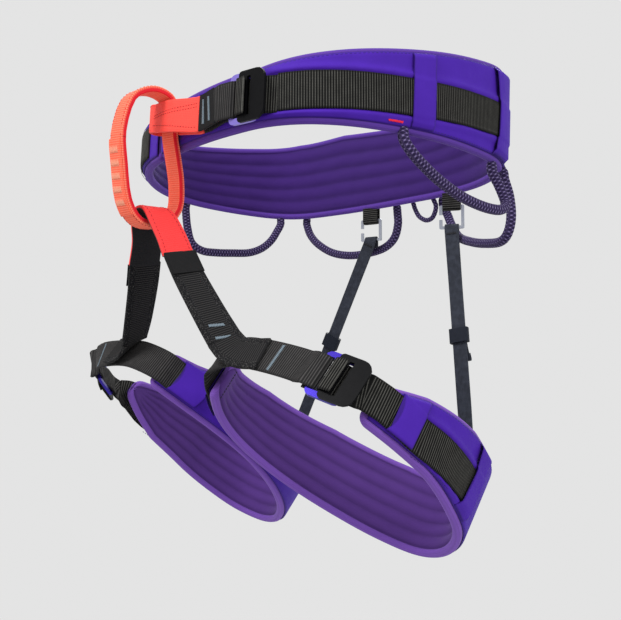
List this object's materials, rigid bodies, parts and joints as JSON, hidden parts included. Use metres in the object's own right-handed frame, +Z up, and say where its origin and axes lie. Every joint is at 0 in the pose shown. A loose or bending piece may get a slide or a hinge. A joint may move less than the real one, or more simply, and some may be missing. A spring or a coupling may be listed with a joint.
{
  "type": "climbing harness",
  "caption": "Padded climbing harness: waist belt, belay loop, two buckled leg loops, gear loops and elastic rear risers.",
  "frame": {"origin": "centre of the waist opening, a little above the belt's lower edge", "axes": "+Z up as worn, -Y the way the wearer faces, +X the wearer's left"},
  "size_m": [0.4401, 0.3606, 0.4364],
  "materials": {
    "lining": "soft mesh",
    "shell": "fine weave",
    "webbing": "ribbed webbing",
    "stitched": "webbing with stitching",
    "red": "dense webbing",
    "frame": "anodised",
    "plate": "satin",
    "cord": "braided sleeve",
    "elastic": "woven elastic",
    "hook": "brushed",
    "slider": "moulded"
  },
  "bodies": {
    "waist_belt": {"waist_pad": "lining", "waist_shell": "shell", "waist_webbing_left": "webbing", "waist_webbing_right": "webbing", "waist_front_keeper_left": "shell", "waist_front_keeper_right": "shell", "waist_rear_keeper_left": "shell", "waist_rear_keeper_right": "shell", "waist_buckle_frame": "frame", "waist_front_strap": "stitched", "waist_buckle_webbing": "webbing", "upper_tie_in": "red", "rear_tab_left": "webbing", "rear_tab_right": "webbing"},
    "waist_plate": {"waist_buckle_plate": "plate"},
    "belay": {"belay_loop": "red"},
    "tie_in": {"lower_tie_in": "red"},
    "leg_left": {"leg_riser_left": "stitched", "leg_pad_left": "lining", "leg_shell_left": "shell", "leg_front_keeper_left": "shell", "leg_rear_keeper_left": "shell", "leg_strap_left": "webbing", "leg_webbing_left": "webbing", "leg_buckle_left_frame": "frame", "elastic_anchor_left": "webbing"},
    "leg_plate_left": {"leg_buckle_left_plate": "plate"},
    "riser_left": {"riser_hook_left": "hook", "elastic_riser_left": "elastic"},
    "slider_left": {"riser_slider_left": "slider"},
    "leg_right": {"leg_riser_right": "stitched", "leg_pad_right": "lining", "leg_shell_right": "shell", "leg_front_keeper_right": "shell", "leg_rear_keeper_right": "shell", "leg_strap_right": "webbing", "leg_webbing_right": "webbing", "leg_buckle_right_frame": "frame", "elastic_anchor_right": "webbing"},
    "leg_plate_right": {"leg_buckle_right_plate": "plate"},
    "riser_right": {"riser_hook_right": "hook", "elastic_riser_right": "elastic"},
    "slider_right": {"riser_slider_right": "slider"},
    "gear_loop_front_left_swing": {"gear_loop_front_left": "cord"},
    "gear_loop_rear_left_swing": {"gear_loop_rear_left": "cord"},
    "gear_loop_front_right_swing": {"gear_loop_front_right": "cord"},
    "gear_loop_rear_right_swing": {"gear_loop_rear_right": "cord"},
    "haul_loop_swing": {"haul_loop": "cord"}
  },
  "joints": [
    {"name": "belay_loop_swing", "type": "hinge", "parent": "waist_belt", "child": "belay", "pos_m": [0.0135, -0.158, 0.012], "axis": [1, 0, 0], "range_deg": [-8, 0], "stiffness_Nm_per_rad": 1.2, "springref_deg": 34.38},
    {"name": "leg_drop", "type": "hinge", "parent": "belay", "child": "tie_in", "pos_m": [0.002, -0.158, -0.083], "axis": [1, 0, 0], "range_deg": [-15, 0], "stiffness_Nm_per_rad": 1.2, "springref_deg": 34.38},
    {"name": "leg_spread_left", "type": "hinge", "parent": "tie_in", "child": "leg_left", "pos_m": [0.0302, -0.1585, -0.122], "axis": [0, -0.7071, -0.7071], "range_deg": [0, 15]},
    {"name": "leg_spread_right", "type": "hinge", "parent": "tie_in", "child": "leg_right", "pos_m": [-0.0336, -0.1595, -0.125], "axis": [0, 0.7071, 0.7071], "range_deg": [0, 15]},
    {"name": "waist_plate_tilt", "type": "hinge", "parent": "waist_belt", "child": "waist_plate", "pos_m": [0.11148, -0.14945, -0.00546], "axis": [0, -0.0499, -0.9988], "range_deg": [0, 10]},
    {"name": "leg_plate_tilt_left", "type": "hinge", "parent": "leg_left", "child": "leg_plate_left", "pos_m": [0.18258, -0.11457, -0.22198], "axis": [0.0426, -0.6536, -0.7557], "range_deg": [0, 10]},
    {"name": "leg_plate_tilt_right", "type": "hinge", "parent": "leg_right", "child": "leg_plate_right", "pos_m": [-0.19067, -0.13332, -0.22214], "axis": [-0.7033, 0.1621, 0.6921], "range_deg": [0, 10]},
    {"name": "riser_swing_left", "type": "hinge", "parent": "waist_belt", "child": "riser_left", "pos_m": [0.06237, 0.12953, -0.05448], "axis": [0.2421, 0.9703, 0], "range_deg": [-5, 5], "stiffness_Nm_per_rad": 0.02, "springref_deg": -28.65},
    {"name": "slider_slide_left", "type": "slide", "parent": "riser_left", "child": "slider_left", "axis": [0.2158, -0.1357, -0.967], "range_m": [-0.025, 0.025]},
    {"name": "riser_swing_right", "type": "hinge", "parent": "waist_belt", "child": "riser_right", "pos_m": [-0.05323, 0.12143, -0.05407], "axis": [0.7431, 0.6691, 0], "range_deg": [0, 7], "stiffness_Nm_per_rad": 0.02, "springref_deg": -28.65},
    {"name": "slider_slide_right", "type": "slide", "parent": "riser_right", "child": "slider_right", "axis": [-0.4581, -0.0897, -0.8844], "range_m": [-0.025, 0.025]},
    {"name": "gear_loop_front_left_hinge", "type": "hinge", "parent": "waist_belt", "child": "gear_loop_front_left_swing", "pos_m": [0.1805, 0.011, -0.043], "axis": [0.1129, -0.9898, 0.0868], "range_deg": [0, 20], "stiffness_Nm_per_rad": 0.1, "springref_deg": -2.86},
    {"name": "gear_loop_rear_left_hinge", "type": "hinge", "parent": "waist_belt", "child": "gear_loop_rear_left_swing", "pos_m": [0.097, 0.1225, -0.048], "axis": [0.9462, -0.3233, 0.0158], "range_deg": [0, 20], "stiffness_Nm_per_rad": 0.1, "springref_deg": -2.86},
    {"name": "gear_loop_front_right_hinge", "type": "hinge", "parent": "waist_belt", "child": "gear_loop_front_right_swing", "pos_m": [-0.1785, 0.022, -0.043], "axis": [0.0912, 0.9946, -0.0497], "range_deg": [0, 20], "stiffness_Nm_per_rad": 0.1, "springref_deg": -2.86},
    {"name": "gear_loop_rear_right_hinge", "type": "hinge", "parent": "waist_belt", "child": "gear_loop_rear_right_swing", "pos_m": [-0.09, 0.12125, -0.0475], "axis": [0.9719, 0.2353, -0.0077], "range_deg": [0, 20], "stiffness_Nm_per_rad": 0.1, "springref_deg": -2.86},
    {"name": "haul_loop_hinge", "type": "hinge", "parent": "waist_belt", "child": "haul_loop_swing", "pos_m": [0.0175, 0.136, -0.048], "axis": [1, 0, 0], "range_deg": [0, 20], "stiffness_Nm_per_rad": 0.1, "springref_deg": -2.86}
  ]
}
